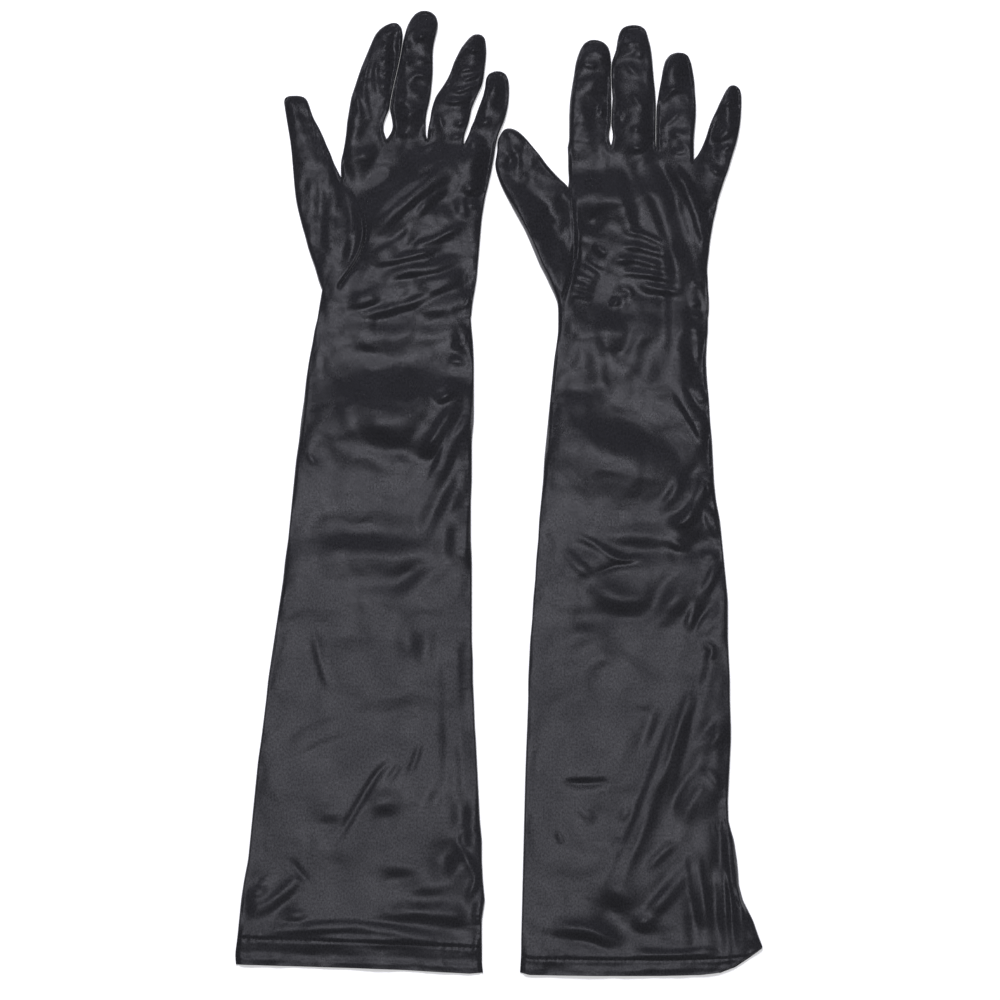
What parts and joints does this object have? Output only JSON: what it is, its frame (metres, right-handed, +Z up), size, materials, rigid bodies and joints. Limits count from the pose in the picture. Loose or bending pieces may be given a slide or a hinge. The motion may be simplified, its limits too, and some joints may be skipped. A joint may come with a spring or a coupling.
{
  "type": "opera gloves",
  "caption": "Pair of long black satin opera gloves lying flat side by side, one palm up and one back up, with set-in thumbs, fourchettes and turned hems.",
  "frame": {"origin": "centre of the footprint of the pair, on the surface the gloves lie on", "axes": "+Y from the mouths of the gloves to the fingertips, +Z up out of the surface, +X from the left-hand glove to the right-hand glove"},
  "size_m": [0.3172, 0.5782, 0.0101],
  "materials": {
    "satin": "black charmeuse satin, soft directional sheen",
    "fourchette_satin": "black satin strips between the fingers",
    "hem_lining": "matt reverse side of the satin",
    "thread": "black polyester sewing thread"
  },
  "bodies": {
    "left_upper": {"left_sleeve_upper": "satin", "left_hem_band": "hem_lining", "left_hem_stitching": "thread", "left_side_seam_upper": "thread"},
    "left_forearm": {"left_sleeve_forearm": "satin", "left_side_seam_forearm": "thread"},
    "left_palm": {"left_hand": "satin", "left_side_seam_hand": "thread", "left_thumb_seam": "thread"},
    "left_index": {"left_index_finger": "satin", "left_index_fourchette_little_side": "fourchette_satin"},
    "left_middle": {"left_middle_finger": "satin", "left_middle_fourchette_index_side": "fourchette_satin", "left_middle_fourchette_little_side": "fourchette_satin"},
    "left_ring": {"left_ring_finger": "satin", "left_ring_fourchette_index_side": "fourchette_satin", "left_ring_fourchette_little_side": "fourchette_satin"},
    "left_little": {"left_little_finger": "satin", "left_little_fourchette_index_side": "fourchette_satin"},
    "left_thumb_stall": {"left_thumb": "satin"},
    "right_upper": {"right_sleeve_upper": "satin", "right_hem_band": "hem_lining", "right_hem_stitching": "thread", "right_side_seam_upper": "thread"},
    "right_forearm": {"right_sleeve_forearm": "satin", "right_side_seam_forearm": "thread"},
    "right_palm": {"right_hand": "satin", "right_side_seam_hand": "thread", "right_thumb_seam": "thread"},
    "right_index": {"right_index_finger": "satin", "right_index_fourchette_little_side": "fourchette_satin"},
    "right_middle": {"right_middle_finger": "satin", "right_middle_fourchette_index_side": "fourchette_satin", "right_middle_fourchette_little_side": "fourchette_satin"},
    "right_ring": {"right_ring_finger": "satin", "right_ring_fourchette_index_side": "fourchette_satin", "right_ring_fourchette_little_side": "fourchette_satin"},
    "right_little": {"right_little_finger": "satin", "right_little_fourchette_index_side": "fourchette_satin"},
    "right_thumb_stall": {"right_thumb": "satin"}
  },
  "joints": [
    {"name": "left_elbow_fold", "type": "hinge", "parent": "left_upper", "child": "left_forearm", "pos_m": [-0.07853, -0.14032, 0.009], "axis": [1, 0, 0], "range_deg": [0, 145]},
    {"name": "left_wrist_fold", "type": "hinge", "parent": "left_forearm", "child": "left_palm", "pos_m": [-0.06323, 0.10508, 0.009], "axis": [1, 0, 0], "range_deg": [0, 80]},
    {"name": "left_index_curl", "type": "hinge", "parent": "left_palm", "child": "left_index", "pos_m": [-0.08063, 0.20843, 0.009], "axis": [0.9999, -0.0153, 0], "range_deg": [0, 90]},
    {"name": "left_middle_curl", "type": "hinge", "parent": "left_palm", "child": "left_middle", "pos_m": [-0.05513, 0.21248, 0.009], "axis": [0.9999, -0.0153, 0], "range_deg": [0, 90]},
    {"name": "left_ring_curl", "type": "hinge", "parent": "left_palm", "child": "left_ring", "pos_m": [-0.03173, 0.21093, 0.009], "axis": [0.9999, -0.0153, 0], "range_deg": [0, 90]},
    {"name": "left_little_curl", "type": "hinge", "parent": "left_palm", "child": "left_little", "pos_m": [-0.01163, 0.20618, 0.009], "axis": [0.9999, -0.0153, 0], "range_deg": [0, 90]},
    {"name": "left_thumb_fold", "type": "hinge", "parent": "left_palm", "child": "left_thumb_stall", "pos_m": [-0.09653, 0.15548, 0.009], "axis": [0.0565, 0.9984, 0], "range_deg": [0, 60]},
    {"name": "right_glove_lift", "type": "slide", "parent": "left_upper", "child": "right_upper", "axis": [0, 0, 1], "range_m": [0, 0.1]},
    {"name": "right_elbow_fold", "type": "hinge", "parent": "right_upper", "child": "right_forearm", "pos_m": [0.07777, -0.14032, 0.009], "axis": [1, 0, 0], "range_deg": [0, 145]},
    {"name": "right_wrist_fold", "type": "hinge", "parent": "right_forearm", "child": "right_palm", "pos_m": [0.08017, 0.10508, 0.009], "axis": [1, 0, 0], "range_deg": [0, 80]},
    {"name": "right_index_curl", "type": "hinge", "parent": "right_palm", "child": "right_index", "pos_m": [0.05392, 0.20813, 0.009], "axis": [0.9896, -0.1437, 0], "range_deg": [0, 90]},
    {"name": "right_middle_curl", "type": "hinge", "parent": "right_palm", "child": "right_middle", "pos_m": [0.08047, 0.20798, 0.009], "axis": [0.9896, -0.1437, 0], "range_deg": [0, 90]},
    {"name": "right_ring_curl", "type": "hinge", "parent": "right_palm", "child": "right_ring", "pos_m": [0.10537, 0.20363, 0.009], "axis": [0.9896, -0.1437, 0], "range_deg": [0, 90]},
    {"name": "right_little_curl", "type": "hinge", "parent": "right_palm", "child": "right_little", "pos_m": [0.12737, 0.19673, 0.009], "axis": [0.9896, -0.1437, 0], "range_deg": [0, 90]},
    {"name": "right_thumb_fold", "type": "hinge", "parent": "right_palm", "child": "right_thumb_stall", "pos_m": [0.03862, 0.14858, 0.009], "axis": [0.075, 0.9972, 0], "range_deg": [0, 60]}
  ]
}
